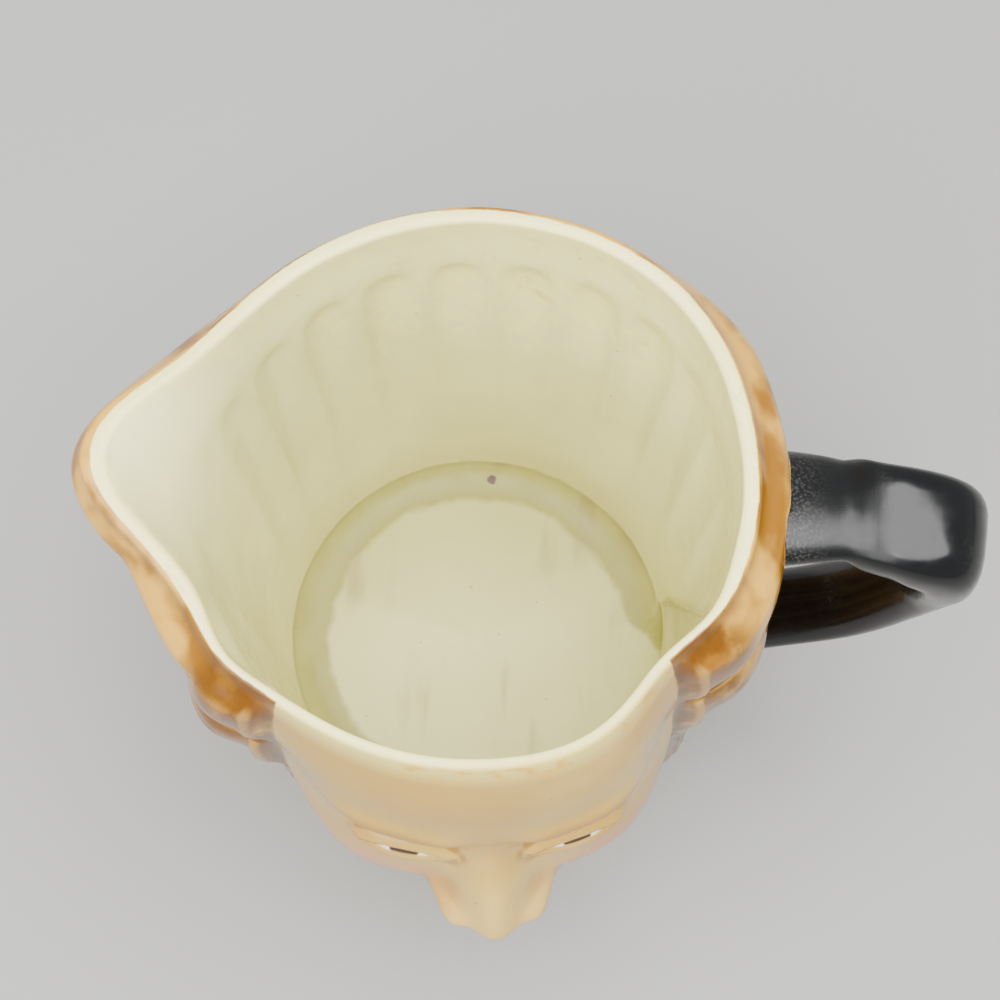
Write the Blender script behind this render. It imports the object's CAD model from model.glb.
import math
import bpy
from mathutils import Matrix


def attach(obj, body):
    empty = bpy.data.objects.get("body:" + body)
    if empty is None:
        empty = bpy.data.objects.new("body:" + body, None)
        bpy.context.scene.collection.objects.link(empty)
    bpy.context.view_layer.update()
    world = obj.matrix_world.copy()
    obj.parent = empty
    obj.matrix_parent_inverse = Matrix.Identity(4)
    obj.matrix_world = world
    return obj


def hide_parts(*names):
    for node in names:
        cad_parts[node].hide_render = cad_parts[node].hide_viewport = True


bl_info = {
    "name": "Head Creamer",
    "version": (1, 0, 0),
    "blender": (4, 5, 0),
    "location": "View3D > Sidebar > Creamer",
    "description": "Models a glazed cream jug in the form of a head, with a pouring lip and a loop handle",
    "category": "Add Mesh",
}

import bpy
import numpy as np
from bpy.props import FloatProperty, FloatVectorProperty, PointerProperty

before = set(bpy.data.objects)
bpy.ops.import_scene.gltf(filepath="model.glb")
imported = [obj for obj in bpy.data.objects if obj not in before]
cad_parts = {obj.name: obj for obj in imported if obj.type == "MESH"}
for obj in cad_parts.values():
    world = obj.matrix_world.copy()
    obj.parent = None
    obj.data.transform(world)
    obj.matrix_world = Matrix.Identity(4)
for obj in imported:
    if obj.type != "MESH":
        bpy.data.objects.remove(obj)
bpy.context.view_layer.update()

MM = 0.001
NODE = "creamer"
PIECE = "creamer_glazed"

# How finely the clay is modelled
COLUMNS = 360
FACE_CROWDING = 0.5
OUTER_ROWS = 180
INNER_ROWS = 46
LIP_ROWS = 10
COVE_ROWS = 7
FLOOR_ROWS = 6
UNDER_ROWS = 9
HANDLE_SIDES = 28
HANDLE_RINGS = 120

# Places on the jug that the panel doesn't change, in millimetres and degrees
FACE_TURN = 3.5
FACE_ARC_RADIUS = 40
FACE_HALF_WIDTH = 33
FACE_INSIDE_SHARE = 0.85
EYE_HALF_WIDTH = 6.4
LID_HEIGHT = 1.9
LOWER_LID_DEPTH = 1.4
MOUTH_HALF_WIDTH = 9.8
LIPS_HALF_WIDTH = 9.4
BELLY_HEIGHT = 42
SHOULDER_HEIGHT = 68
FOOT_BEVEL = 1.2
LIP_ROUND = 0.8
BAND_DEPTH = 11
FLUTE_DEPTH = 1.25
FOLD_START = 12
FOLD_END = -85
FOLD_CLIMB = 1.25
FOLD_CURVE = 0.0104
FOLD_DEPTH = 1.2
FLOOR_STEP = 3
FLOOR_COVE = 5.6
SPOUT_ANGLE = 178
SPOUT_SPREAD = 15
SPOUT_LENGTH = 43
SPOUT_FLARE_OUTSIDE = 2.6
SPOUT_FLARE_INSIDE = 4.5
THROAT_REACH = 3.2
THROAT_SPREAD = 40
BEAD_DEPTH = 1.6
RIM_SWELLS = ((-46, -2.5, 14), (40, 1.1, 22), (-142, 0.9, 9))
FACE_LIP_WALL = 1.5
FACE_LIP_EDGES = (50, 36)
ROLL_SPLIT = 65.5
ROLL_HEIGHT = 15
ROLL_LENGTH = 62
LOWER_ROLL_SHARE = 1.35
ROLL_WAIST = 23
ROLL_WAIST_SHARE = 0.25
TWIST_PITCH = 16
TWIST_DEPTH = 1.4
TWIST_DEPTH_BY_HANDLE = 0.35
CLOTH_HEIGHT = 11.5
LIP_PAINT = 0.45
PAINTED_NOWHERE = -2
FLOOR_SPECK = (0.0024, 0.0273, 0.006)

# The handle, and its half widths and thicknesses at shares of its length
HANDLE_ANGLE = -3
HANDLE_THICKNESS = 4
KNOB_LEAN = 6
ARM_LEAN = 10
HANDLE_TO_BACK = (
    (0, 9.2), (0.06, 9.1), (0.13, 8.5), (0.2, 7), (0.3, 6), (0.42, 6), (0.55, 6.2), (0.8, 6), (1, 6.6))
HANDLE_TO_FRONT = (
    (0, 8.6), (0.06, 7.8), (0.12, 6.9), (0.155, 6.6), (0.2, 7.6), (0.26, 8.9), (0.33, 9.1), (0.43, 7.8),
    (0.55, 6.7), (0.8, 6), (1, 6.6))
HANDLE_OUTWARD = (
    (0, 4.6), (0.06, 3.6), (0.12, 3.2), (0.155, 3.1), (0.175, 3.7), (0.2, 4.4), (0.24, 4.9), (0.285, 6),
    (0.315, 5.9), (0.35, 5.2), (0.43, 4.2), (0.6, 3.8), (0.8, 3.6), (1, 4.4))
HANDLE_INWARD = ((0, 4.2), (0.08, 3.6), (0.3, 3.6), (0.5, 4), (0.8, 3.4), (1, 4.2))

# How fine the paint's noises are, to the metre
CLOUDS = 38
PATCHES = 90
BLOTCHES = 200
GRAIN = 420
RAGGED = 1700
SPECKS = 2600
PINHOLES = 170

# Where the handle's rubbed root fades along it, where its arm ends, and from what height up, in metres
ROOT_END = (0.0475, 0.0405)
ARM_END = (0.0545, 0.0525)
ARM_FOOT = (0.06, 0.07)

# The stage, in metres, watts and degrees
FLOOR_SIZE = 6
LIGHTS = (
    ("overhead_light", (0.08, -0.12, 1.0), 1.1, 34),
    ("front_light", (-0.55, -0.75, 0.75), 0.9, 12))
SKY_STRENGTH = 0.63
CAMERA_PLACE = (0.00377, -0.0855, 0.306)
CAMERA_ELEVATION = 70
CAMERA_LENS = 68.7
CAMERA_SENSOR = 36


def linear(red, green, blue):
    """A colour as picked on a screen, 0 to 255, in the renderer's linear scale."""
    shares = [channel / 255 for channel in (red, green, blue)]
    return tuple(c / 12.92 if c <= 0.04045 else ((c + 0.055) / 1.055) ** 2.4 for c in shares)


# Tints that vary the panel's colours
CREAM_CLOUD = linear(230, 225, 162)
CREAM_WARM = linear(240, 228, 172)
CREAM_THIN = linear(240, 238, 186)
LIP_STAIN = linear(206, 182, 110)
DRAG_MARK = linear(150, 138, 84)
SPECK_BROWN = linear(74, 44, 0)
SKIN_LIGHT = linear(204, 172, 92)
SKIN_STREAK = linear(186, 138, 56)
SKIN_UNDER_LIP = linear(234, 216, 118)
YELLOW_FLECK = linear(224, 170, 46)
HAIR_END = linear(100, 58, 0)
HAIR_CREST = linear(218, 172, 84)
CLOTH_FOLD = linear(190, 180, 152)
PINHOLE_BROWN = linear(110, 90, 60)
PALE_FLOOR = linear(148, 148, 145)


def length(name, text, millimetres):
    return FloatProperty(name=name, description=text, default=millimetres * MM, min=0.0001, unit="LENGTH")


def colour(name, text, red, green, blue):
    return FloatVectorProperty(
        name=name, description=text, default=linear(red, green, blue), size=3, subtype="COLOR", min=0, max=1)


class CreamerSizes(bpy.types.PropertyGroup):
    """Sizes of the jug."""

    rim_height: length("Rim height", "Height of the rim above the table", 81)
    rim_half_width: length("Rim half width", "Middle of the mouth to its side", 36.8)
    rim_half_depth: length("Rim half depth", "Middle of the mouth to its front", 37.9)
    foot_radius: length("Foot radius", "Radius of the flat underside", 33)
    belly_radius: length("Belly radius", "Radius half way up", 36.6)
    shoulder_radius: length("Shoulder radius", "Radius below the rim", 38.4)
    wall: length("Wall", "Thickness of the wall", 3.8)
    lip_wall: length("Lip wall", "Thickness of the wall at the lip", 2.4)
    floor_height: length("Floor height", "Thickness of the floor", 5)
    spout_reach: length("Spout reach", "How far the pouring lip stands out of the throat", 7.8)
    spout_rise: length("Spout rise", "How far the pouring lip rises above the rim", 3.5)
    chin_height: length("Chin height", "Height of the chin above the table", 13)
    jaw_depth: length("Jaw depth", "How far the face stands out at the jaw", 7.4)
    brow_depth: length("Brow depth", "How far the face stands out at the brow", 4.4)
    hair_edge: length("Hair edge", "From the middle of the face to the hair, along the face", 30)
    hair_depth: length("Hair depth", "How far the hair stands out of the wall", 1.6)
    roll_depth: length("Roll depth", "How far the rolls of hair stand out", 2.6)
    lock_depth: length("Lock depth", "How far each upright lock stands out", 1.7)
    handle_reach: length("Handle reach", "Middle of the jug to the outside of the handle", 67.3)
    handle_top: length("Handle top", "Height at which the handle leaves the jug", 72.5)
    handle_bottom: length("Handle bottom", "Height at which the handle comes back", 22)
    lock_angle: FloatProperty(
        name="Lock angle", description="Width of one lock of hair and of one flute, round the jug",
        default=math.radians(16), min=math.radians(4), subtype="ANGLE")


class CreamerColours(bpy.types.PropertyGroup):
    """Colours of the glazes and paints."""

    cream: colour("Cream", "Glaze inside the jug", 242, 239, 180)
    ivory: colour("Ivory", "Thin glaze along the lip", 250, 241, 160)
    pool: colour("Pooled glaze", "Glaze where it gathers thickly", 150, 146, 68)
    skin: colour("Skin", "Wash of colour on the face", 186, 148, 66)
    tan_wash: colour("Tan wash", "Darker wash that gathers in the folds of the face", 140, 92, 26)
    blush: colour("Blush", "Pink on the cheeks", 190, 120, 112)
    lips: colour("Lips", "Colour of the lips", 156, 74, 54)
    hair_light: colour("Light hair", "Hair where the paint is thin", 208, 158, 62)
    hair: colour("Hair", "Hair where the paint is even", 146, 96, 18)
    hair_dark: colour("Dark hair", "Hair where the paint gathers", 58, 34, 4)
    cloth: colour("Neckcloth", "White of the neckcloth and of the eyes", 236, 232, 214)
    iris: colour("Iris", "Colour of the eyes", 74, 52, 32)
    black: colour("Handle black", "Black glaze of the handle", 8, 9, 10)
    worn: colour("Worn black", "Handle where its glaze is worn", 96, 96, 90)
    clay: colour("Bare clay", "Unglazed clay under the foot", 214, 198, 168)


# The shape, in millimetres and degrees

def ease(start, end, x):
    """Eases from 0 at x = start to 1 at x = end; start may be the greater."""
    t = np.clip((x - start) / (end - start), 0, 1)
    return t * t * (3 - 2 * t)


def hump(x, width):
    """A soft hump of height 1 at x = 0, with the given half-width."""
    return np.exp(-(x / width) ** 2)


def dome(x):
    """The upper half of a circle of radius 1, and 0 beyond it."""
    return np.sqrt(np.maximum(0, 1 - x * x))


def wrapped(angle):
    """The angle brought between -180 and 180."""
    return (angle + 180) % 360 - 180


def through(stations, z):
    """A smooth curve through (height, value) stations."""
    heights, values = np.array(stations, dtype=float).T
    last = len(values) - 1
    after = np.minimum(np.arange(last + 1) + 1, last)
    before = np.maximum(np.arange(last + 1) - 1, 0)
    slopes = (values[after] - values[before]) / (heights[after] - heights[before])
    i = np.clip(np.searchsorted(heights, z), 1, last)
    span = heights[i] - heights[i - 1]
    t = np.clip((z - heights[i - 1]) / span, 0, 1)
    return ((2 * t ** 3 - 3 * t ** 2 + 1) * values[i - 1] + (t ** 3 - 2 * t ** 2 + t) * span * slopes[i - 1]
            + (3 * t ** 2 - 2 * t ** 3) * values[i] + (t ** 3 - t ** 2) * span * slopes[i])


class Form:
    """The jug's shape: radii at a direction and a height, worked out from the panel's sizes."""

    def __init__(self, sizes):
        for name in CreamerSizes.__annotations__:
            setattr(self, name, getattr(sizes, name) / MM)
        self.lock_angle = math.degrees(sizes.lock_angle)
        third = (self.rim_height - self.chin_height) / 3
        self.brow_height = self.rim_height - third
        self.nose_base = self.chin_height + third
        self.eye_height = self.brow_height - 0.3 * third
        self.eye_apart = 0.96 * third
        self.mouth_height = self.nose_base - third / 3
        self.nose_length = 0.43 * third
        self.lock_top = self.rim_height - BAND_DEPTH
        self.rim_radius_mean = (self.rim_half_width + self.rim_half_depth) / 2

    def across(self, angle):
        """Millimetres across the face from its middle, round the jug; left of the picture is negative."""
        return np.radians(wrapped(angle + 90 - FACE_TURN)) * FACE_ARC_RADIUS

    def rim_radius(self, angle):
        a = np.radians(angle)
        oval = 1 / np.hypot(np.cos(a) / self.rim_half_width, np.sin(a) / self.rim_half_depth)
        uneven = sum(depth * hump(wrapped(angle - at), spread) for at, depth, spread in RIM_SWELLS)
        return oval + uneven

    def lip_thickness(self, angle):
        """The wall at the rim, finer over the face than round the back."""
        over_face = ease(*FACE_LIP_EDGES, np.abs(self.across(angle)))
        return self.lip_wall + (FACE_LIP_WALL - self.lip_wall) * over_face

    def side(self, z):
        return through([
            (0, self.foot_radius), (BELLY_HEIGHT, self.belly_radius), (SHOULDER_HEIGHT, self.shoulder_radius),
            (self.rim_height, self.rim_radius_mean)], z)

    def vessel(self, angle, z):
        return self.side(z) + (self.rim_radius(angle) - self.rim_radius_mean) * ease(0, self.rim_height, z)

    def spout_share(self, angle):
        return hump(wrapped(angle - SPOUT_ANGLE), SPOUT_SPREAD)

    def spout(self, angle, z, power):
        flare = np.clip(1 - (self.rim_height - z) / SPOUT_LENGTH, 0, 1) ** power
        throat = THROAT_REACH * hump(wrapped(angle - SPOUT_ANGLE), THROAT_SPREAD)
        return flare * (self.spout_reach * self.spout_share(angle) + throat)

    def rise(self, angle, z):
        """How far the pouring lip and the unevenness of the rim lift a point of nominal height z."""
        share = hump(wrapped(angle - SPOUT_ANGLE), 1.6 * SPOUT_SPREAD)
        a = np.radians(angle)
        uneven = 0.16 * np.sin(3 * a + 2) + 0.1 * np.sin(7 * a) + 0.05 * np.sin(17 * a + 1)
        return (self.spout_rise * share + uneven) * ease(self.rim_height / 2, self.rim_height, z)

    def egg(self, u, z):
        """How far a point lies from the middle of the face: 1 along the jaw and the temples."""
        middle = self.rim_height * 0.6
        down = np.maximum(0, middle - z) / (middle - self.chin_height + 1)
        return np.minimum(1, np.hypot(u / FACE_HALF_WIDTH, down))

    def face_mass(self, u, z):
        depth = through([
            (self.chin_height, self.jaw_depth), (self.chin_height + 10, 0.97 * self.jaw_depth),
            (self.nose_base, 0.89 * self.jaw_depth), (self.brow_height, self.brow_depth),
            (self.brow_height + 12, self.brow_depth / 2), (self.rim_height, 0)], z)
        return np.maximum(depth, 0) * (1 - self.egg(u, z) ** 4) ** 0.8

    def brow(self, u, z):
        side = np.abs(u)
        arch = self.brow_arch(side)
        return 1.4 * hump(z - arch, 2.6) * ease(1, 7, side) * ease(24, 14, side)

    def brow_arch(self, side):
        return self.brow_height + 0.2 + 1.3 * hump(side - 15, 7)

    def from_eye(self, u, z):
        """Across and up from the middle of the eye, and up from the edges of its two lids."""
        du = np.abs(u) - self.eye_apart / 2
        dz = z - self.eye_height
        arch = np.maximum(0, 1 - (du / EYE_HALF_WIDTH) ** 2)
        return du, dz, dz - LID_HEIGHT * arch, dz + LOWER_LID_DEPTH * arch

    def eye_opening(self, u, z):
        """Signed distance to the edge of the opening between the lids, positive inside."""
        _, _, over, under = self.from_eye(u, z)
        return np.minimum(-over, under)

    def eye(self, u, z):
        du, dz, over, under = self.from_eye(u, z)
        socket = -2.3 * hump(du + 1, 8.6) * hump(dz - 1.4, 5.6)
        ball = 2.5 * hump(du, EYE_HALF_WIDTH) * hump(dz, 4.3)
        wide = ease(7.6, 5.4, np.abs(du))
        lids = 1.3 * hump(over - 0.7, 1) + 0.55 * hump(under + 0.5, 0.8)
        opening = -0.55 * ease(0.2, -0.4, over) * ease(-0.2, 0.5, under)
        folds = -0.45 * hump(over - 2.5, 0.55) - 0.2 * hump(under + 2.6, 0.9)
        return socket + ball + (lids + opening + folds) * wide

    def nose(self, u, z):
        side = np.abs(u)
        base, size = self.nose_base, self.nose_length
        tip = base + 3.8
        ridge = np.maximum(0, through([
            (base - 1.6, 0), (base - 0.4, 0.12 * size), (base + 1.2, 0.66 * size), (tip - 0.8, 0.96 * size),
            (tip + 1, size), (tip + 4.5, 0.83 * size), (self.brow_height - 6, 0.28 * size),
            (self.brow_height, 0.06 * size), (self.brow_height + 6, 0)], z))
        width = through([
            (base - 2, 3.8), (tip, 4.4), (tip + 5, 3.7), (self.brow_height - 5, 3.3),
            (self.brow_height + 4, 5)], z)
        body = ridge * (0.72 * hump(u, width) + 0.28 * hump(u, 1.9 * width))
        wing = 3.5 * hump(side - 5.2, 2.1) * hump(z - base - 2.8, 2.3) * ease(base - 1.2, base + 1, z)
        nostril = -1.7 * hump(side - 2.9, 1.2) * hump(z - base - 0.5, 0.85)
        crease = -0.45 * hump(side - 8.5, 1.1) * hump(z - base - 3, 2.6)
        return body + wing + nostril + crease

    def mouth_line(self, u):
        return self.mouth_height + 0.4 * (u / MOUTH_HALF_WIDTH) ** 2 - 0.3 * hump(u, 2)

    def mouth(self, u, z):
        reach = np.maximum(0, 1 - (u / MOUTH_HALF_WIDTH) ** 2)
        above = z - self.mouth_line(u)
        muzzle = 1.8 * hump(u, 12) * hump(z - self.mouth_height, 7.5)
        upper = 1.5 * (1 - 0.2 * hump(u, 1.6)) * hump(above - 1.25, 1.2) * reach
        lower = 1.9 * hump(above + 1.75, 1.55) * reach
        parting = -0.7 * hump(above, 0.5) * np.sqrt(reach)
        corner = -0.4 * hump(np.abs(u) - MOUTH_HALF_WIDTH, 1.6) * hump(above, 1.8)
        groove = (-0.4 * hump(u, 1.4) * ease(self.mouth_height + 2.6, self.mouth_height + 4, z)
                  * ease(self.nose_base + 0.4, self.nose_base - 1.4, z))
        return muzzle + upper + lower + parting + corner + groove

    def lips(self, u, z):
        """Signed distance to the edge of the lips, positive on them."""
        above = z - self.mouth_line(u)
        reach = np.maximum(0, 1 - (u / LIPS_HALF_WIDTH) ** 2)
        top = (2.5 - 0.5 * hump(u, 1.6)) * reach ** 0.7
        bottom = 3.3 * reach ** 0.7
        return np.minimum(top - above, above + bottom)

    def cheeks_and_chin(self, u, z):
        side = np.abs(u)
        cheek = 1.9 * hump(side - 17, 8.5) * hump(z - self.nose_base - 5, 8)
        hollow = -0.8 * hump(side - 20, 7) * hump(z - self.mouth_height, 8)
        temple = -1 * hump(side - 27, 6) * hump(z - self.brow_height - 2, 8)
        chin = 2.4 * hump(u, 8) * hump(z - self.chin_height - 6, 4.6)
        under_lip = -1 * hump(u, 8) * hump(z - self.mouth_height + 6, 2)
        return cheek + hollow + temple + chin + under_lip

    def face(self, u, z):
        carving = (self.brow(u, z) + self.eye(u, z) + self.nose(u, z) + self.mouth(u, z)
                   + self.cheeks_and_chin(u, z))
        return carving * ease(1, 0.8, self.egg(u, z)) * ease(self.rim_height, self.rim_height - 6, z)

    def behind_roll(self, u):
        end = self.hair_edge + ROLL_LENGTH
        return ease(end + 8, end - 16, np.abs(u))

    def in_roll(self, u, z):
        """1 within the rolls, 0 in the locks below and behind them."""
        return self.behind_roll(u) * ease(ROLL_SPLIT - ROLL_HEIGHT - 0.4, ROLL_SPLIT - ROLL_HEIGHT + 0.4, z)

    def roll(self, u, z):
        """The two rolls, one over the other, swelling as they leave the face."""
        side = np.abs(u) - self.hair_edge
        front = 0.5 * ease(-1, 2, side) + 0.5 * ease(0, 9, side)
        half = ROLL_HEIGHT / 2
        upper = dome((z - ROLL_SPLIT - half) / half)
        lower = LOWER_ROLL_SHARE * dome((z - ROLL_SPLIT + half) / half)
        mass = np.maximum(upper, lower) * front * self.behind_roll(u)
        depth = self.roll_depth * (1 - ROLL_WAIST_SHARE * hump(side - ROLL_WAIST, 9))
        return (depth + self.twist(u, side, z)) * mass

    def twist(self, u, side, z):
        """Lumps along a roll, as of twisted hair, with a slanting groove between each two."""
        slant = np.where(z > ROLL_SPLIT, 0.5 * (z - ROLL_SPLIT) + 0.8, 0.6 * (z - ROLL_SPLIT) + 2)
        turn = (side + slant) / TWIST_PITCH
        lump = 2 * (turn - np.floor(turn)) - 1
        depth = np.where(u < 0, TWIST_DEPTH, TWIST_DEPTH_BY_HANDLE)
        return depth * (0.4 - lump ** 2) * ease(1, 6, side) * ease(34, 22, side)

    def across_lock(self, angle):
        share = wrapped(angle + 270 - FACE_TURN) / self.lock_angle + 0.5
        return 2 * (share - np.floor(share)) - 1

    def lock(self, angle, z):
        p = self.across_lock(angle)
        roll_foot = ROLL_SPLIT - ROLL_HEIGHT
        top = self.lock_top + (roll_foot - self.lock_top) * self.behind_roll(self.across(angle)) - 2.5 * p * p
        bottom = CLOTH_HEIGHT + 1.5 + 2 * p * p
        shown = ease(top + 1.5, top - 1.5, z) * ease(bottom - 1, bottom + 1.5, z)
        curl = 0.6 * hump(z - CLOTH_HEIGHT - 6, 4)
        return (self.lock_depth * (1 - p * p) - 0.4 * self.lock_depth + curl) * shown

    def flow(self, angle, z):
        """Millimetres across the strands of hair, which run round in the rolls and upright in the locks."""
        u = self.across(angle)
        wave = 1.2 * np.sin(u / 6.1 + z / 9) + 0.4 * np.sin(u / 2.9 + 1)
        inside_roll = self.in_roll(u, z)
        return inside_roll * (z + wave) + (1 - inside_roll) * (u + self.sway(angle, z))

    def sway(self, angle, z):
        """How far a lock's strands swing sideways, each lock in its own rhythm."""
        number = np.floor(wrapped(angle + 270 - FACE_TURN) / self.lock_angle + 0.5)
        return 0.8 * np.sin(z / 7 + 2.1 * number) + 0.35 * np.sin(z / 3.1 + 1.3 * number)

    def strands(self, angle, z):
        """Combed grooves of the hair, finer than the solid's."""
        u = self.across(angle)
        across = self.across_lock(angle) * math.radians(self.lock_angle / 2) * self.shoulder_radius
        drawn = across + self.sway(angle, z) * (1 - self.across_lock(angle) ** 4)
        inside_roll = self.in_roll(u, z)
        upright = hump(drawn - 1.9, 0.42) + 0.8 * hump(drawn + 1.7, 0.36) + 0.5 * hump(drawn, 0.5)
        wave = 0.9 * np.sin(u / 6.1 + 1)
        along = (hump(z - ROLL_SPLIT - 10.5 - wave, 0.5) + 0.8 * hump(z - ROLL_SPLIT - 4.5 + wave, 0.45)
                 + hump(z - ROLL_SPLIT + 5 - wave, 0.5) + 0.8 * hump(z - ROLL_SPLIT + 10.5 + wave, 0.45))
        start = ease(self.hair_edge + 4, self.hair_edge + 9, np.abs(u))
        return -0.34 * ((1 - inside_roll) * upright + 0.3 * inside_roll * along * start)

    def hair(self, angle, z):
        u = self.across(angle)
        edge = ease(self.hair_edge - 1, self.hair_edge + 2.4, np.abs(u))
        mass = self.hair_depth * ease(CLOTH_HEIGHT, CLOTH_HEIGHT + 2, z)
        combed = self.strands(angle, z) * ease(CLOTH_HEIGHT + 1, CLOTH_HEIGHT + 3, z)
        fade = ease(self.rim_height, self.rim_height - 5, z)
        return (mass + combed + self.roll(u, z) + self.lock(angle, z)) * edge * fade

    def neckcloth(self, angle, z):
        slope = 1.2 * np.sin(np.radians(wrapped(angle + 90 - FACE_TURN)))
        folds = hump(z - 4 - slope, 1.6) + hump(z - 8.4 - slope, 1.6)
        return 0.7 * folds * ease(FOOT_BEVEL, FOOT_BEVEL + 2, z) * ease(CLOTH_HEIGHT + 1, CLOTH_HEIGHT - 1, z)

    def unevenness(self, angle, z):
        """The slight waviness of a hand-finished casting."""
        a = np.radians(angle)
        broad = 0.14 * np.sin(3 * a + z / 23 + 1) + 0.1 * np.sin(5 * a - z / 17)
        return (broad + 0.05 * np.sin(11 * a + z / 9)) * ease(0, 20, z)

    def outside(self, angle, z):
        u = self.across(angle)
        bevel = FOOT_BEVEL * (1 - ease(0, FOOT_BEVEL, z))
        bead = BEAD_DEPTH * self.spout_share(angle) * hump(z - self.rim_height + 3, 5)
        return (self.vessel(angle, z) + self.face_mass(u, z) + self.face(u, z) + self.hair(angle, z)
                + self.neckcloth(angle, z) + self.spout(angle, z, SPOUT_FLARE_OUTSIDE) + bead - bevel
                + self.unevenness(angle, z))

    def fluted(self, angle, z):
        """1 where the wall inside is fluted, below the arched tops, fading round towards the face."""
        side = np.abs(self.across(angle)) - self.hair_edge
        away = 0.2 * ease(2, 24, side) + 0.8 * ease(36, 58, side)
        top = self.lock_top - 2.8 * self.across_lock(angle) ** 2
        return ease(top + 0.7, top - 3.2, z) * away * (1 - self.spout_share(angle))

    def flute(self, angle, z):
        """Hollows of the flutes, with soft ridges between them, fading towards the floor."""
        deep = self.fluted(angle, z) * ease(self.floor_height + FLOOR_STEP, self.floor_height + 48, z)
        return (FLUTE_DEPTH * (1 - self.across_lock(angle) ** 2) - 0.35) * deep

    def petal(self, angle, z):
        """1 in the arched top of a flute, where the glaze has run thin, and 0 elsewhere."""
        near_top = ease(self.lock_top - 32, self.lock_top - 9, z)
        return (1 - self.across_lock(angle) ** 2) * near_top * self.fluted(angle, z)

    def beside_fold(self, angle):
        """1 at the directions where the floor runs softly into the hollow of the head, and 0 elsewhere."""
        a = wrapped(angle)
        return ease(FOLD_START + 2, FOLD_START - 5, a) * ease(FOLD_END, FOLD_END + 20, a)

    def below_fold(self, angle, z):
        """1 under the line that climbs beside the face from the floor to the lip, and 0 above it."""
        past = np.maximum(0, FOLD_START - wrapped(angle))
        line = self.floor_height + FLOOR_STEP + FOLD_CLIMB * past + FOLD_CURVE * past ** 2
        return ease(line + 0.6, line - 2.4, z) * self.beside_fold(angle)

    def fold(self, angle, z):
        """The soft step inside along the line that climbs beside the face."""
        low = self.floor_height + FLOOR_STEP
        ends = ease(low, low + 5, z) * ease(self.rim_height, self.lock_top, z)
        return FOLD_DEPTH * self.below_fold(angle, z) * ends

    def inside(self, angle, z):
        thick = self.wall + (self.lip_thickness(angle) - self.wall) * ease(self.lock_top, self.rim_height, z)
        hollow = self.face_mass(self.across(angle), z) * ease(self.floor_height, self.floor_height + 20, z)
        return (self.vessel(angle, z) - thick + FACE_INSIDE_SHARE * hollow + self.flute(angle, z)
                + self.fold(angle, z) + self.spout(angle, z, SPOUT_FLARE_INSIDE) + self.unevenness(angle, z))

    def plain_outside(self, z):
        return self.side(z) - FOOT_BEVEL * (1 - ease(0, FOOT_BEVEL, z))

    def plain_inside(self, z):
        thick = self.wall + (self.lip_wall - self.wall) * ease(self.lock_top, self.rim_height, z)
        return self.side(z) - thick


# Modelling by hand

def only(thing):
    """Leaves one object selected and active, in object mode."""
    if bpy.context.object and bpy.context.object.mode != "OBJECT":
        bpy.ops.object.mode_set(mode="OBJECT")
    bpy.ops.object.select_all(action="DESELECT")
    thing.select_set(True)
    bpy.context.view_layer.objects.active = thing


def points_of(thing):
    """The piece's vertices in millimetres."""
    flat = np.empty(len(thing.data.vertices) * 3)
    thing.data.vertices.foreach_get("co", flat)
    return flat.reshape(-1, 3) / MM


def move_points(thing, points):
    thing.data.vertices.foreach_set("co", (points * MM).ravel())
    thing.data.update()


def turned_profile(form):
    """The plain jug's section as radius and height, from under the foot over the lip to the floor."""
    low, high = form.floor_height + FLOOR_STEP, form.rim_height - LIP_ROUND
    under = [(radius, 0) for radius in np.linspace(0, form.foot_radius - FOOT_BEVEL, UNDER_ROWS)]
    outer = [(form.plain_outside(z), z) for z in np.linspace(0, high, OUTER_ROWS + 1)[1:]]
    start, end = form.plain_outside(high), form.plain_inside(high)
    lip = []
    for step in range(1, LIP_ROWS):
        turn = math.pi * step / LIP_ROWS
        squared = math.copysign(abs(math.cos(turn)) ** 0.6, math.cos(turn))
        radius = (start + end) / 2 + (start - end) / 2 * squared
        lip.append((radius, high + LIP_ROUND * math.sin(turn) ** 0.7))
    inner = [(form.plain_inside(z), z) for z in np.linspace(high, low, INNER_ROWS)]
    cove = []
    for step in range(1, COVE_ROWS + 1):
        turn = math.pi / 2 * step / COVE_ROWS
        radius = form.plain_inside(low) - FLOOR_COVE * (1 - math.cos(turn))
        cove.append((radius, low - FLOOR_STEP * math.sin(turn)))
    flat = [(radius, form.floor_height) for radius in np.linspace(cove[-1][0], 0, FLOOR_ROWS)[1:]]
    return under + outer + lip + inner + cove + flat


def turn_bowl(form):
    """The plain jug: one vertex extruded along the section, spun round and merged."""
    profile = turned_profile(form)
    bpy.ops.mesh.primitive_plane_add(size=2 * MM, location=(0, 0, 0))
    bowl = bpy.context.object
    bpy.ops.object.mode_set(mode="EDIT")
    bpy.ops.mesh.merge(type="CENTER")
    here = profile[0]
    for there in profile[1:]:
        step = ((there[0] - here[0]) * MM, 0, (there[1] - here[1]) * MM)
        bpy.ops.mesh.extrude_region_move(TRANSFORM_OT_translate={"value": step})
        here = there
    bpy.ops.mesh.select_all(action="SELECT")
    bpy.ops.mesh.spin(steps=COLUMNS, angle=math.tau, center=(0, 0, 0), axis=(0, 0, 1))
    bpy.ops.mesh.select_all(action="SELECT")
    bpy.ops.mesh.remove_doubles(threshold=0.01 * MM)
    bpy.ops.mesh.normals_make_consistent(inside=False)
    bpy.ops.object.mode_set(mode="OBJECT")
    return bowl


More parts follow.
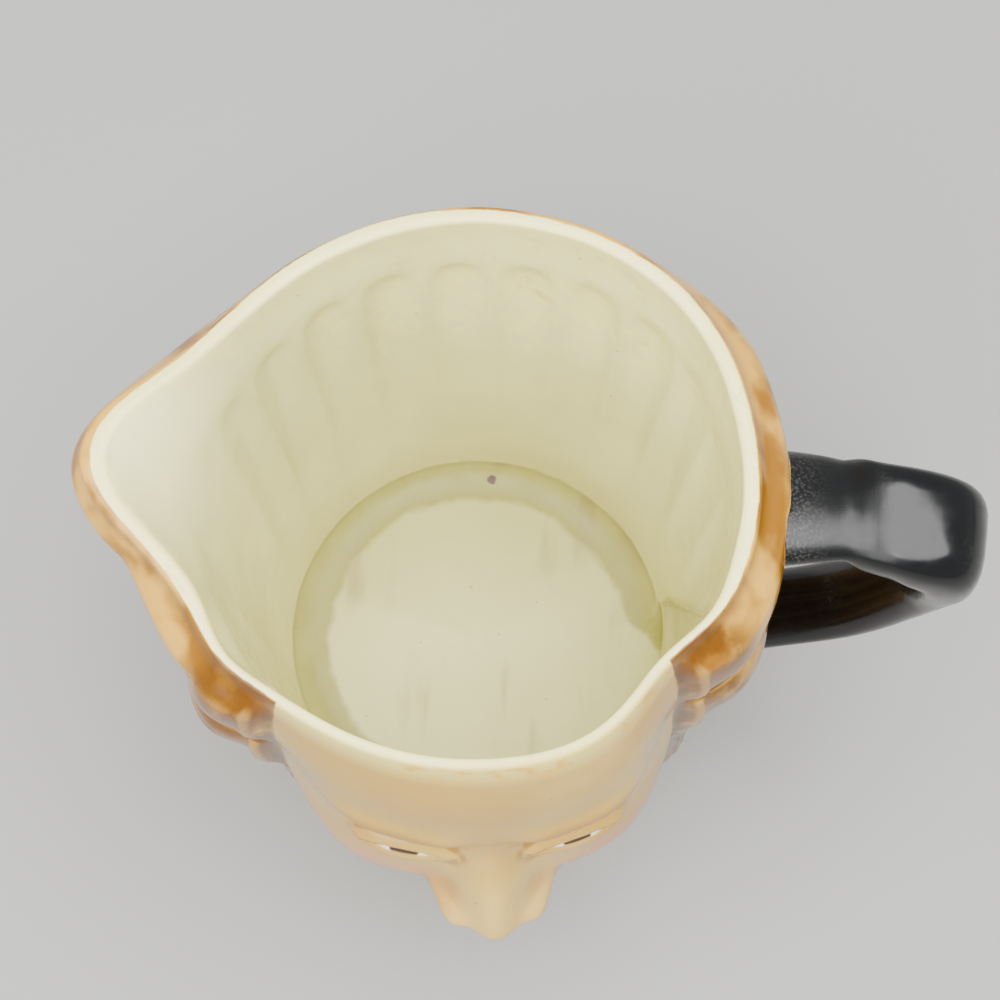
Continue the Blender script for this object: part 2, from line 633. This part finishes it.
def carve(bowl, form):
    """Moves each vertex of the plain jug to where the carved jug has it."""
    x, y, z = points_of(bowl).T
    radius = np.hypot(x, y)
    round_head = wrapped(np.degrees(np.arctan2(y, x)) + 90 - FACE_TURN)
    crowded = round_head - math.degrees(FACE_CROWDING) * np.sin(np.radians(round_head))
    angle = crowded - 90 + FACE_TURN
    ring = np.maximum(z, form.floor_height + FLOOR_STEP)
    plain_out, plain_in = form.plain_outside(z), form.plain_inside(ring)
    share = np.clip((plain_out - radius) / (plain_out - plain_in), 0, 1)
    out, into = form.outside(angle, z), form.inside(angle, ring)
    moved = out + (into - out) * share
    moved = np.where(radius < plain_in - 0.001, radius / plain_in * into, moved)
    moved = np.where(z < 0.001, radius / plain_out * out, moved)
    height = z + form.rise(angle, z)
    turn = np.radians(angle)
    move_points(bowl, np.column_stack([moved * np.cos(turn), moved * np.sin(turn), height]))


def handle_path(form, t):
    """Middle line of the handle as distance from the jug's axis and height, at shares t of its length."""
    angle = np.array([HANDLE_ANGLE])
    root = form.vessel(angle, np.array([form.handle_top]))[0] - form.wall
    foot = form.vessel(angle, np.array([form.handle_bottom]))[0] - form.wall
    out = form.handle_reach - HANDLE_THICKNESS
    top, bottom = form.handle_top, form.handle_bottom
    drop = top - bottom
    stations = np.array([
        (root + 1.6, top - 0.4), (root + 5, top), (root + 0.6 * (out - root), top - 0.2),
        (out - 6, top - 0.4), (out - 1.6, top - 3.2), (out, top - 0.2 * drop),
        (out - 2.2, top - 0.44 * drop), (out - 9, top - 0.7 * drop),
        (foot + 9, bottom + 0.09 * drop), (foot + 1.6, bottom - 0.5)])
    steps = np.hypot(*np.diff(stations, axis=0).T)
    along = np.concatenate([[0], np.cumsum(steps)])
    at = t * along[-1]
    return (through(np.column_stack([along, stations[:, 0]]), at),
            through(np.column_stack([along, stations[:, 1]]), at))


def shape_handle(form):
    """The loop handle: a disc extruded ring by ring, then laid along its path and shaped."""
    bpy.ops.mesh.primitive_circle_add(vertices=HANDLE_SIDES, radius=MM, fill_type="NGON", location=(0, 0, 0))
    handle = bpy.context.object
    bpy.ops.object.mode_set(mode="EDIT")
    for _ in range(HANDLE_RINGS):
        bpy.ops.mesh.extrude_region_move(TRANSFORM_OT_translate={"value": (0, 0, MM)})
    bpy.ops.mesh.select_all(action="SELECT")
    bpy.ops.mesh.normals_make_consistent(inside=False)
    bpy.ops.object.mode_set(mode="OBJECT")
    x, y, z = points_of(handle).T
    t = z / HANDLE_RINGS
    reach, height = handle_path(form, t)
    small = 0.004
    reach_on, height_on = handle_path(form, np.minimum(t + small, 1))
    reach_back, height_back = handle_path(form, np.maximum(t - small, 0))
    slope = np.arctan2(height_on - height_back, reach_on - reach_back)
    level = np.maximum(ease(0.07, 0, t), ease(0.93, 1, t))
    coming_back = slope + np.where(slope > 0, -1, 1) * math.pi
    slope = np.where(t < 0.5, slope, coming_back) * (1 - level)
    turn = np.arctan2(y, x)
    knob = ease(0.145, 0.185, t) * ease(0.48, 0.36, t)
    arm = ease(0.01, 0.06, t) * ease(0.19, 0.145, t)
    square = 2 / (2 + 1.3 * knob)
    deep = np.sign(np.cos(turn)) * np.abs(np.cos(turn)) ** square
    wide = np.sign(np.sin(turn)) * np.abs(np.sin(turn)) ** square
    width = np.where(wide > 0, through(HANDLE_TO_BACK, t), through(HANDLE_TO_FRONT, t))
    thickness = np.where(deep > 0, through(HANDLE_OUTWARD, t), through(HANDLE_INWARD, t))
    lift = thickness * deep * np.where(t < 0.5, 1, -1)
    lean = np.radians(KNOB_LEAN * knob - ARM_LEAN * arm)
    py = wide * width * np.cos(lean) - lift * np.sin(lean)
    lift = lift * np.cos(lean) + wide * width * np.sin(lean)
    px = reach - lift * np.sin(slope)
    pz = height + lift * np.cos(slope)
    a = math.radians(HANDLE_ANGLE)
    move_points(handle, np.column_stack([
        px * math.cos(a) - py * math.sin(a), px * math.sin(a) + py * math.cos(a), pz]))
    return handle


def join(bowl, handle):
    """Unites the handle with the bowl as one casting."""
    only(bowl)
    bpy.ops.object.modifier_add(type="BOOLEAN")
    union = bowl.modifiers[-1]
    union.operation = "UNION"
    union.solver = "EXACT"
    union.object = handle
    bpy.ops.object.modifier_apply(modifier=union.name)
    bpy.data.objects.remove(handle)


# Painting: what the brushes followed, kept as numbers on the vertices

def write_vector(thing, name, *columns):
    attribute = thing.data.attributes.new(name, "FLOAT_VECTOR", "POINT")
    attribute.data.foreach_set("vector", np.column_stack(columns).astype(np.float32).ravel())


def mark_paint(thing, form):
    """Writes, for each vertex, how far it lies inside each painted area, in millimetres."""

    def mark(name, values):
        attribute = thing.data.attributes.new(name, "FLOAT", "POINT")
        attribute.data.foreach_set("value", np.ascontiguousarray(values, dtype=np.float32))

    x, y, height = points_of(thing).T
    radius = np.hypot(x, y)
    angle = np.degrees(np.arctan2(y, x))
    z = height.copy()
    for _ in range(4):
        z = height - form.rise(angle, z)
    u = form.across(angle)
    low = form.floor_height + FLOOR_STEP
    ring = np.maximum(z, low)
    out, into = form.outside(angle, z), form.inside(angle, ring)
    near_handle = (np.abs(wrapped(angle - HANDLE_ANGLE)) < 30) & (z > 5)
    mark("handle", np.where(near_handle, np.clip(4 * (radius - out) - 0.3, -1, 1), -1))
    edge = form.rim_radius(angle) + form.spout(angle, np.full_like(z, form.rim_height), 1)
    outer = (radius > (out + into) / 2) & (z < form.rim_height - 3)
    unglazed = outer | (z < 0.5)
    mark("glaze", np.where(unglazed, PAINTED_NOWHERE, edge - radius - LIP_PAINT))
    mark("hair", np.abs(u) - form.hair_edge + 0.9 + 0.2 * np.sin(z / 3.1))
    mark("neckcloth", CLOTH_HEIGHT + 0.6 - z)
    mark("foot", 0.7 - z)
    inner = radius < into + 0.4
    soft = form.beside_fold(angle)
    basin = np.maximum((low - z) / (1 + 9 * soft), 0.5 * form.below_fold(angle, z) - 0.25)
    mark("basin", np.where(inner, basin, PAINTED_NOWHERE))
    a = wrapped(angle)
    past = ease(FOLD_START + 2, FOLD_START - 30, a) * ease(FOLD_END, FOLD_END + 30, a)
    mark("cove", np.where(z < low + 0.3, radius - into + FLOOR_COVE - 8 * past, -3))
    mark("petal", np.where(inner, form.petal(angle, z), 0))
    mark("fluted", np.where(inner, form.fluted(angle, z), 0))
    mark("below", form.rim_height - z)
    span = 0.9
    turn = math.degrees(span / FACE_ARC_RADIUS)
    around = ((turn, 0), (-turn, 0), (0, span), (0, -span))
    dip = sum(form.outside(angle + da, z + dz) for da, dz in around) / 4 - out
    gathered = into - sum(form.inside(angle + da, ring + dz) for da, dz in around) / 4
    mark("dip", np.where(inner, 2 * gathered, dip))
    write_vector(thing, "flow", form.flow(angle, z), np.where(form.in_roll(u, z) > 0.5, u, z), 0 * z)
    write_vector(thing, "face", u, z, 0 * z)
    mark("opening", form.eye_opening(u, z))
    mark("lips", form.lips(u, z))
    side = np.abs(u)
    thick = 1.5 * ease(3, 8, side) * ease(25, 13, side)
    brows = thick - np.abs(z - form.brow_arch(side))
    mark("brows", np.where(side < 26, brows, PAINTED_NOWHERE))
    mark("cheeks", hump(side - 17, 9) * hump(z - form.nose_base - 2, 9))


# Glazes and paints

class Brush:
    """Adds nodes to one material; textures and attributes asked for twice are made once."""

    def __init__(self, name):
        self.material = bpy.data.materials.new(name)
        self.material.use_nodes = True
        self.tree = self.material.node_tree
        self.shader = self.tree.nodes["Principled BSDF"]
        self.shared = {}

    def once(self, key, make):
        if key not in self.shared:
            self.shared[key] = make()
        return self.shared[key]

    def node(self, kind, **values):
        made = self.tree.nodes.new(kind)
        for name, value in values.items():
            setattr(made, name, value)
        return made

    def feed(self, socket, value):
        if isinstance(value, bpy.types.NodeSocket):
            self.tree.links.new(value, socket)
        elif isinstance(value, tuple) and len(value) == 3 and socket.type == "RGBA":
            socket.default_value = (*value, 1)
        else:
            socket.default_value = value

    def math(self, operation, first, second=0.0):
        made = self.node("ShaderNodeMath", operation=operation)
        for socket, value in zip(made.inputs, (first, second)):
            self.feed(socket, value)
        return made.outputs[0]

    def add(self, first, second):
        return self.math("ADD", first, second)

    def product(self, *values):
        made = values[0]
        for value in values[1:]:
            made = self.math("MULTIPLY", made, value)
        return made

    def between(self, value, low, high, start=0.0, end=1.0):
        made = self.node("ShaderNodeMapRange", interpolation_type="SMOOTHSTEP")
        for socket, number in zip(made.inputs, (value, low, high, start, end)):
            self.feed(socket, number)
        return made.outputs[0]

    def mix(self, share, first, second):
        made = self.node("ShaderNodeMix", data_type="RGBA")
        self.feed(made.inputs[0], share)
        self.feed(made.inputs[6], first)
        self.feed(made.inputs[7], second)
        return made.outputs[2]

    def attribute(self, name):
        return self.once(name, lambda: self.node("ShaderNodeAttribute", attribute_name=name))

    def number(self, name):
        return self.attribute(name).outputs["Fac"]

    def stretched(self, source, scale):
        made = self.node("ShaderNodeMapping")
        self.feed(made.inputs["Vector"], source)
        made.inputs["Scale"].default_value = scale
        return made.outputs[0]

    def vector(self, name, scale=(1, 1, 1)):
        source = self.attribute(name).outputs["Vector"]
        return self.once((name, scale), lambda: self.stretched(source, scale))

    def place(self, scale=(1, 1, 1)):
        source = self.once("place", lambda: self.node("ShaderNodeTexCoord")).outputs["Object"]
        if scale == (1, 1, 1):
            return source
        return self.once(("place", scale), lambda: self.stretched(source, scale))

    def new_noise(self, vector, scale, detail):
        made = self.node("ShaderNodeTexNoise")
        self.feed(made.inputs["Vector"], vector)
        made.inputs["Scale"].default_value = scale
        made.inputs["Detail"].default_value = detail
        return made.outputs["Fac"]

    def noise(self, vector, scale, detail=3.0):
        key = ("noise", vector.node.name, scale, detail)
        return self.once(key, lambda: self.new_noise(vector, scale, detail))

    def swing(self, scale, reach):
        """A noise around 0, as far as reach to both sides."""
        centred = self.math("SUBTRACT", self.noise(self.place(), scale), 0.5)
        return self.product(centred, 2 * reach)

    def cells(self, vector, scale):
        made = self.node("ShaderNodeTexVoronoi", feature="F1")
        self.feed(made.inputs["Vector"], vector)
        made.inputs["Scale"].default_value = scale
        return made.outputs["Distance"]

    def bump(self, height, depth):
        made = self.node("ShaderNodeBump")
        made.inputs["Strength"].default_value = 1
        made.inputs["Distance"].default_value = depth * MM
        self.feed(made.inputs["Height"], height)
        return made.outputs[0]


def cream_glaze(brush, paint):
    """The glaze inside: cloudy, greener where it gathers, ivory along the lip, marked on the floor."""
    place = brush.place()
    clouds = brush.between(brush.noise(place, CLOUDS), 0.35, 0.7)
    base = brush.mix(clouds, tuple(paint.cream), CREAM_CLOUD)
    warm = brush.between(brush.noise(place, PATCHES), 0.55, 0.75, 0, 0.3)
    base = brush.mix(warm, base, CREAM_WARM)
    gathered = brush.between(brush.number("dip"), 0.03, 0.5, 0, 0.4)
    base = brush.mix(gathered, base, tuple(paint.pool))
    base = brush.mix(brush.product(brush.number("fluted"), 0.22), base, tuple(paint.pool))
    base = brush.mix(brush.product(brush.number("petal"), 0.6), base, CREAM_THIN)
    basin = brush.between(brush.add(brush.number("basin"), brush.swing(GRAIN, 0.2)), -0.1, 0.25)
    base = brush.mix(brush.product(basin, 0.48), base, tuple(paint.pool))
    scalloped = brush.add(brush.number("cove"), brush.swing(BLOTCHES, 1.5))
    thinning = brush.between(scalloped, 2, 5.6, 0.95, 0.6)
    cove = brush.product(brush.between(scalloped, -0.9, 0.7), thinning)
    base = brush.mix(brush.product(basin, cove), base, tuple(paint.pool))
    base = floor_marks(brush, basin, base)
    edge = brush.between(brush.add(brush.number("glaze"), brush.swing(GRAIN, 1.4)), 3.4, 0.9)
    base = brush.mix(edge, base, tuple(paint.ivory))
    stain = brush.product(brush.between(brush.noise(place, BLOTCHES), 0.6, 0.72, 0, 0.5), edge)
    return brush.mix(stain, base, LIP_STAIN), basin


def floor_marks(brush, basin, base):
    """Faint drag marks of a spoon on the floor, and one brown speck fired into the glaze."""
    drawn = brush.noise(brush.place((1, 0.2, 1)), 190, 2)
    where = brush.between(brush.noise(brush.place(), CLOUDS), 0.4, 0.6)
    marks = brush.product(brush.between(drawn, 0.54, 0.7, 0, 0.6), basin, where)
    base = brush.mix(marks, base, DRAG_MARK)
    offset = brush.node("ShaderNodeVectorMath", operation="DISTANCE")
    brush.feed(offset.inputs[0], brush.place())
    offset.inputs[1].default_value = FLOOR_SPECK
    ragged = brush.add(offset.outputs["Value"], brush.swing(RAGGED, 0.0004))
    return brush.mix(brush.between(ragged, 0.001, 0.0007), base, SPECK_BROWN)


def skin_paint(brush, paint):
    """The face: a warm wash, pink cheeks, darker in its folds and stained yellow under the lip."""
    place = brush.place()
    wash = brush.noise(place, CLOUDS)
    base = brush.mix(brush.between(wash, 0.35, 0.7), tuple(paint.skin), SKIN_LIGHT)
    patches = brush.noise(place, PATCHES)
    base = brush.mix(brush.between(patches, 0.5, 0.75, 0, 0.5), base, SKIN_STREAK)
    below = brush.number("below")
    base = brush.mix(brush.between(below, 5, 0.5, 0, 0.8), base, SKIN_UNDER_LIP)
    under = brush.product(brush.between(below, 4.5, 1.6), brush.between(below, 0.1, 0.7))
    flecks = brush.add(brush.product(patches, 0.6), brush.product(brush.noise(place, GRAIN), 0.4))
    stain = brush.product(brush.between(flecks, 0.48, 0.57, 0, 0.85), under)
    base = brush.mix(stain, base, YELLOW_FLECK)
    folds = brush.between(brush.number("dip"), 0.02, 0.22, 0, 0.7)
    base = brush.mix(folds, base, tuple(paint.tan_wash))
    blush = brush.product(brush.number("cheeks"), brush.between(wash, 0.2, 0.7, 0.45, 0.75))
    return brush.mix(blush, base, tuple(paint.blush))


def features(brush, paint, skin):
    """Brows, eyes and lips painted over the skin."""
    hairs = brush.math("SUBTRACT", brush.noise(brush.vector("face", (1.5, 0.5, 1)), 1.7, 2), 0.5)
    brows = brush.between(brush.add(brush.number("brows"), hairs), -1.2, 1.3, 0, 0.6)
    base = brush.mix(brows, skin, tuple(paint.hair))
    lip_edge = brush.add(brush.number("lips"), brush.product(hairs, 0.3))
    base = brush.mix(brush.between(lip_edge, -0.3, 0.4, 0, 0.75), base, tuple(paint.lips))
    white = brush.between(brush.number("opening"), 0, 0.25)
    return brush.mix(white, base, tuple(paint.cloth))


def irises(brush, paint, base, form):
    """Both irises with their pupils and the dark line of the lashes."""
    opening = brush.number("opening")
    split = brush.node("ShaderNodeSeparateXYZ")
    brush.feed(split.inputs[0], brush.vector("face"))
    across = brush.math("SUBTRACT", brush.math("ABSOLUTE", split.outputs[0]), form.eye_apart / 2)
    up = brush.math("SUBTRACT", split.outputs[1], form.eye_height + 0.2)
    away = brush.math("SQRT", brush.add(brush.product(across, across), brush.product(up, up)))
    within = brush.between(opening, 0, 0.2)
    iris = brush.product(brush.between(away, 2.35, 2.05), within)
    base = brush.mix(iris, base, tuple(paint.iris))
    pupil = brush.product(brush.between(away, 1.15, 0.95), within)
    base = brush.mix(pupil, base, tuple(paint.black))
    along_lid = brush.product(brush.between(opening, -0.75, -0.35), brush.between(opening, 0.25, 0))
    above = brush.product(brush.between(up, -0.6, 0.2), brush.between(up, 5, 4))
    near = brush.between(brush.math("ABSOLUTE", across), 7.2, 5.6)
    return brush.mix(brush.product(along_lid, above, near, 0.85), base, tuple(paint.hair_dark))


def hair_paint(brush, paint):
    """Brown laid on with a wide brush: streaks along the strands, dark in the grooves, thin on the crests."""
    streaks = brush.math("SUBTRACT", brush.noise(brush.vector("flow", (1, 0.22, 1)), 0.55), 0.5)
    fine = brush.noise(brush.vector("flow", (1, 0.08, 1)), 1.7, 2)
    combed = brush.between(brush.number("below"), 18, 32, 0.1, 1)
    tone = brush.add(brush.noise(brush.place(), PATCHES), brush.product(streaks, combed, 0.6))
    base = brush.mix(brush.between(tone, 0.42, 0.6), tuple(paint.hair_light), tuple(paint.hair))
    lines = brush.product(brush.between(fine, 0.5, 0.75, 0, 0.4), combed)
    base = brush.mix(lines, base, tuple(paint.hair_dark))
    cloudy = brush.between(brush.noise(brush.place(), BLOTCHES), 0.3, 0.55, 0.2, 0.9)
    ends = brush.product(brush.between(brush.number("hair"), 14, 8), cloudy)
    base = brush.mix(ends, base, HAIR_END)
    grooves = brush.between(brush.number("dip"), 0.02, 0.3, 0, 0.9)
    base = brush.mix(grooves, base, tuple(paint.hair_dark))
    crests = brush.between(brush.number("dip"), -0.05, -0.25, 0, 0.4)
    return brush.mix(crests, base, HAIR_CREST)


def black_glaze(brush, paint):
    """The handle: black, rubbed grey in specks, most of all beside the jug."""
    place = brush.place()
    rubbed = brush.between(brush.noise(place, SPECKS, 2), 0.46, 0.66)
    patch = brush.between(brush.noise(place, PATCHES), 0.55, 0.75, 0, 0.25)
    split = brush.node("ShaderNodeSeparateXYZ")
    brush.feed(split.inputs[0], place)
    top = brush.between(split.outputs[2], *ARM_FOOT)
    root = brush.product(brush.between(split.outputs[0], *ROOT_END), top, 0.26)
    share = brush.product(rubbed, brush.math("MAXIMUM", patch, root))
    arm = brush.product(top, brush.between(split.outputs[0], *ARM_END))
    return brush.mix(share, tuple(paint.black), tuple(paint.worn)), arm


def glaze_material(form, paint):
    """All the glazes and paints of the jug in one material, laid over each other as they were painted."""
    brush = Brush("painted_glaze")
    place = brush.place()

    def inside_of(name, soft, jitter):
        return brush.between(brush.add(brush.number(name), brush.swing(GRAIN, 0.45 * jitter)), -soft, soft)

    skin = irises(brush, paint, features(brush, paint, skin_paint(brush, paint)), form)
    hair = inside_of("hair", 0.16, 0.6)
    base = brush.mix(hair, skin, hair_paint(brush, paint))
    in_folds = brush.between(brush.number("dip"), 0.0, 0.2, 0, 0.5)
    cloth = brush.mix(in_folds, tuple(paint.cloth), CLOTH_FOLD)
    base = brush.mix(inside_of("neckcloth", 0.2, 0.6), base, cloth)
    thin = brush.add(0.14, brush.product(brush.math("SUBTRACT", 1, hair), 0.6))
    lip = brush.add(brush.number("glaze"), brush.swing(GRAIN, 0.2))
    glaze = brush.between(lip, brush.product(thin, -1), thin)
    cream, basin = cream_glaze(brush, paint)
    base = brush.mix(glaze, base, cream)
    pinholes = brush.between(brush.cells(place, PINHOLES), 0.045, 0.02, 0, 0.55)
    base = brush.mix(pinholes, base, PINHOLE_BROWN)
    handle = inside_of("handle", 0.2, 0.5)
    black, arm = black_glaze(brush, paint)
    base = brush.mix(handle, base, black)
    foot = inside_of("foot", 0.2, 0.5)
    base = brush.mix(foot, base, tuple(paint.clay))
    brush.feed(brush.shader.inputs["Base Color"], base)
    brush.shader.inputs["Specular IOR Level"].default_value = 0.4
    uneven = brush.between(brush.noise(place, GRAIN), 0.3, 0.8, 0.1, 0.2)
    rubbed_arm = brush.product(handle, brush.add(brush.product(arm, 0.12), 0.05))
    dull = brush.math("MAXIMUM", brush.product(basin, 0.26), rubbed_arm)
    dull = brush.math("MAXIMUM", dull, brush.product(foot, 0.6))
    brush.feed(brush.shader.inputs["Roughness"], brush.add(uneven, dull))
    on_hair = brush.product(
        brush.between(brush.number("hair"), -0.2, 0.2), brush.between(brush.number("glaze"), 0.2, -0.2),
        brush.between(brush.number("handle"), 0.2, -0.2),
        brush.between(brush.number("below"), 16, 32, 0.05, 1))
    strokes = brush.noise(brush.vector("flow", (1, 0.08, 1)), 1.7, 2)
    relief = brush.add(brush.product(strokes, on_hair), brush.noise(place, PATCHES))
    brush.feed(brush.shader.inputs["Normal"], brush.bump(relief, 0.11))
    return brush.material


def stage_material(name, shade):
    brush = Brush(name)
    brush.feed(brush.shader.inputs["Base Color"], shade)
    brush.shader.inputs["Roughness"].default_value = 0.7
    return brush.material


# Operators and panel

class CREAMER_OT_jug(bpy.types.Operator):
    """Models the jug with its handle as one casting and paints it"""

    bl_idname = "creamer.jug"
    bl_label = "Jug"

    def execute(self, context):
        form = Form(context.scene.creamer_sizes)
        bpy.ops.object.select_all(action="DESELECT")
        bowl = turn_bowl(form)
        carve(bowl, form)
        handle = shape_handle(form)
        join(bowl, handle)
        mark_paint(bowl, form)
        bowl.name = PIECE
        bowl.data.name = PIECE
        only(bowl)
        bpy.ops.object.shade_smooth()
        bowl.data.materials.clear()
        bowl.data.materials.append(glaze_material(form, context.scene.creamer_colours))
        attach(bowl, "root")
        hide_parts(NODE)
        return {"FINISHED"}


class CREAMER_OT_stage(bpy.types.Operator):
    """Adds the pale floor, the soft studio light and the camera"""

    bl_idname = "creamer.stage"
    bl_label = "Stage"

    def execute(self, context):
        bpy.ops.object.select_all(action="DESELECT")
        bpy.ops.mesh.primitive_plane_add(size=FLOOR_SIZE, location=(0, 0, 0))
        floor = context.object
        floor.name = "floor"
        floor.data.materials.append(stage_material("pale_floor", PALE_FLOOR))
        for light in LIGHTS:
            self.add_light(*light)
        world = context.scene.world or bpy.data.worlds.new("studio")
        context.scene.world = world
        world.use_nodes = True
        background = world.node_tree.nodes["Background"]
        background.inputs["Color"].default_value = (1, 1, 1, 1)
        background.inputs["Strength"].default_value = SKY_STRENGTH
        self.add_camera(context)
        return {"FINISHED"}

    def add_light(self, name, place, size, power):
        bpy.ops.object.light_add(type="AREA", location=place)
        light = bpy.context.object
        light.name = name
        light.data.size = size
        light.data.energy = power
        aim = math.atan2(math.hypot(place[0], place[1]), place[2])
        light.rotation_euler = (aim, 0, math.atan2(place[1], place[0]) + math.pi / 2)

    def add_camera(self, context):
        tilt = math.pi / 2 - math.radians(CAMERA_ELEVATION)
        bpy.ops.object.camera_add(location=CAMERA_PLACE, rotation=(tilt, 0, 0))
        camera = context.object
        camera.data.sensor_width = CAMERA_SENSOR
        camera.data.lens = CAMERA_LENS
        camera.data.clip_start = 0.01
        context.scene.camera = camera


class CREAMER_PT_panel(bpy.types.Panel):
    """Sizes, colours and buttons of the creamer"""

    bl_idname = "CREAMER_PT_panel"
    bl_label = "Creamer"
    bl_space_type = "VIEW_3D"
    bl_region_type = "UI"
    bl_category = "Creamer"

    def draw(self, context):
        scene = context.scene
        for group, owner in ((CreamerSizes, scene.creamer_sizes), (CreamerColours, scene.creamer_colours)):
            box = self.layout.box()
            for name in group.__annotations__:
                box.prop(owner, name)
        for operator in (CREAMER_OT_jug, CREAMER_OT_stage):
            self.layout.operator(operator.bl_idname)


CLASSES = (CreamerSizes, CreamerColours, CREAMER_OT_jug, CREAMER_OT_stage, CREAMER_PT_panel)


def register():
    for made in CLASSES:
        bpy.utils.register_class(made)
    bpy.types.Scene.creamer_sizes = PointerProperty(type=CreamerSizes)
    bpy.types.Scene.creamer_colours = PointerProperty(type=CreamerColours)


def unregister():
    del bpy.types.Scene.creamer_colours
    del bpy.types.Scene.creamer_sizes
    for made in reversed(CLASSES):
        bpy.utils.unregister_class(made)


def main():
    register()
    bpy.ops.creamer.stage()
    bpy.ops.creamer.jug()


if __name__ == "__main__":
    main()
